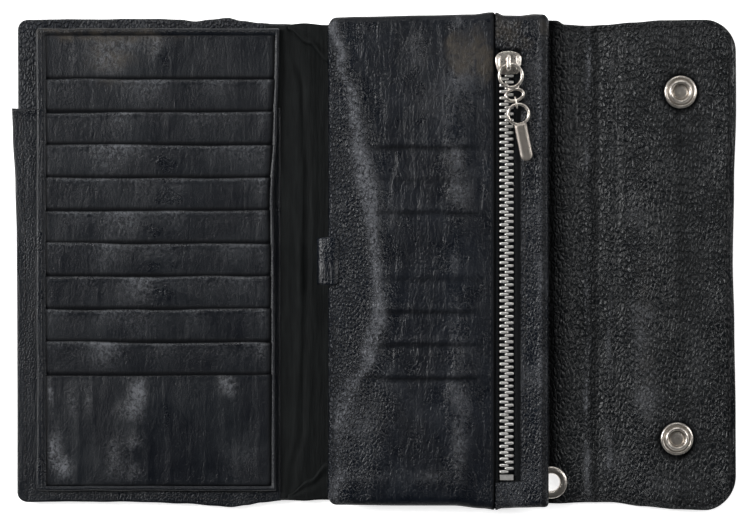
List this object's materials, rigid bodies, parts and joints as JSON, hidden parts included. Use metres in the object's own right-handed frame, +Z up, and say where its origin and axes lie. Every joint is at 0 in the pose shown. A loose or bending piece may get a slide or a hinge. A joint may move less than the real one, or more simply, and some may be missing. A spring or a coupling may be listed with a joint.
{
  "type": "long wallet",
  "caption": "Long trifold leather wallet, open, with a card-slot front, spine, lifting zip-pocket leaf and a snap flap that wraps round; grommet for a chain.",
  "frame": {"origin": "centre of the opened wallet's footprint, at the level of the table it lies on", "axes": "+X from the card panel towards the snap flap, +Y towards the top edge, +Z up out of the inside face"},
  "size_m": [0.282, 0.1906, 0.0169],
  "materials": {
    "cover_leather": "black-navy grained leather, worn satin",
    "facing_leather": "pebbled black leather, satin with glossy worn crests",
    "leaf_leather": "smooth to pebbled black leather, glossy wear streaks",
    "card_leather": "smooth black leather, soft sheen",
    "lining": "thin matte dark lining leather",
    "zip_tape": "woven black tape, matte",
    "silver": "polished silver-coloured metal, dark in the recesses",
    "zip_metal": "nickel-coloured zip metal, worn bright"
  },
  "bodies": {
    "back": {"back_cover": "cover_leather", "back_lining": "lining", "back_facing": "facing_leather", "seam_welt": "leaf_leather", "grommet_eyelet": "silver", "grommet_washer": "silver", "gusset_top": "lining", "gusset_bottom": "lining"},
    "spine": {"spine_cover": "cover_leather", "spine_lining": "lining"},
    "front": {"front_cover": "cover_leather", "slip_pocket": "cover_leather", "card_backing": "card_leather", "card_binding": "card_leather", "card_head": "card_leather", "card_pocket_01": "card_leather", "card_pocket_02": "card_leather", "card_pocket_03": "card_leather", "card_pocket_04": "card_leather", "card_pocket_05": "card_leather", "card_pocket_06": "card_leather", "card_pocket_07": "card_leather", "card_pocket_08": "card_leather", "card_pocket_09": "card_leather", "card_pocket_10": "card_leather", "snap_stud_1": "silver", "snap_stud_2": "silver"},
    "wrap": {"wrap_cover": "cover_leather", "wrap_facing": "facing_leather"},
    "flap": {"flap_cover": "cover_leather", "flap_facing": "facing_leather", "snap_socket_1": "silver", "snap_socket_2": "silver", "snap_cap_1": "silver", "snap_cap_2": "silver"},
    "leaf": {"leaf_back": "leaf_leather", "leaf_welt": "leaf_leather", "leaf_front": "leaf_leather", "zip_strip": "leaf_leather", "edge_loop": "leaf_leather", "zip_tape_left": "zip_tape", "zip_tape_right": "zip_tape", "zip_teeth_left": "zip_metal", "zip_teeth_right": "zip_metal", "zip_bottom_stop": "zip_metal"},
    "slider": {"slider_under_plate": "silver", "slider_body": "silver", "slider_bail": "silver"},
    "pull": {"pull_link": "silver"},
    "pendant": {"pull_jump_ring": "silver", "pull_pendant": "silver"}
  },
  "joints": [
    {"name": "front_fold", "type": "hinge", "parent": "spine", "child": "front", "pos_m": [-0.0368, 0, 0.005], "axis": [0, 1, 0], "range_deg": [0, 97.16]},
    {"name": "spine_fold", "type": "hinge", "parent": "back", "child": "spine", "pos_m": [-0.0193, 0, 0.0028], "axis": [0, 1, 0], "range_deg": [0, 82.84], "deforming": ["gusset_top", "gusset_bottom", "edge_loop"]},
    {"name": "flap_fold", "type": "hinge", "parent": "wrap", "child": "flap", "pos_m": [0.10843, 0, 0.0053], "axis": [0, -1, 0], "range_deg": [0, 95.45]},
    {"name": "wrap_fold", "type": "hinge", "parent": "back", "child": "wrap", "pos_m": [0.0854, 0, 0.0031], "axis": [0, -1, 0], "range_deg": [0, 84.55]},
    {"name": "compartment_open", "type": "hinge", "parent": "back", "child": "leaf", "pos_m": [0.0613, 0, 0.0075], "axis": [0, -1, 0], "range_deg": [-20, 0], "deforming": ["gusset_top", "gusset_bottom"]},
    {"name": "zip_slide", "type": "slide", "parent": "leaf", "child": "slider", "axis": [0, -1, 0], "range_m": [0, 0.15]},
    {"name": "pull_swing", "type": "hinge", "parent": "slider", "child": "pull", "pos_m": [0.0516, 0.0761, 0.0149], "axis": [-1, 0, 0], "range_deg": [0, 183.5]},
    {"name": "pendant_swing", "type": "hinge", "parent": "pull", "child": "pendant", "pos_m": [0.05436, 0.06228, 0.01442], "axis": [0.9806, 0.1958, 0.0068], "range_deg": [-80, 0]}
  ],
  "couplings": [
    {"joint": "spine_fold", "follows": "front_fold", "ratio": 0.85251},
    {"joint": "wrap_fold", "follows": "flap_fold", "ratio": 0.88568}
  ]
}
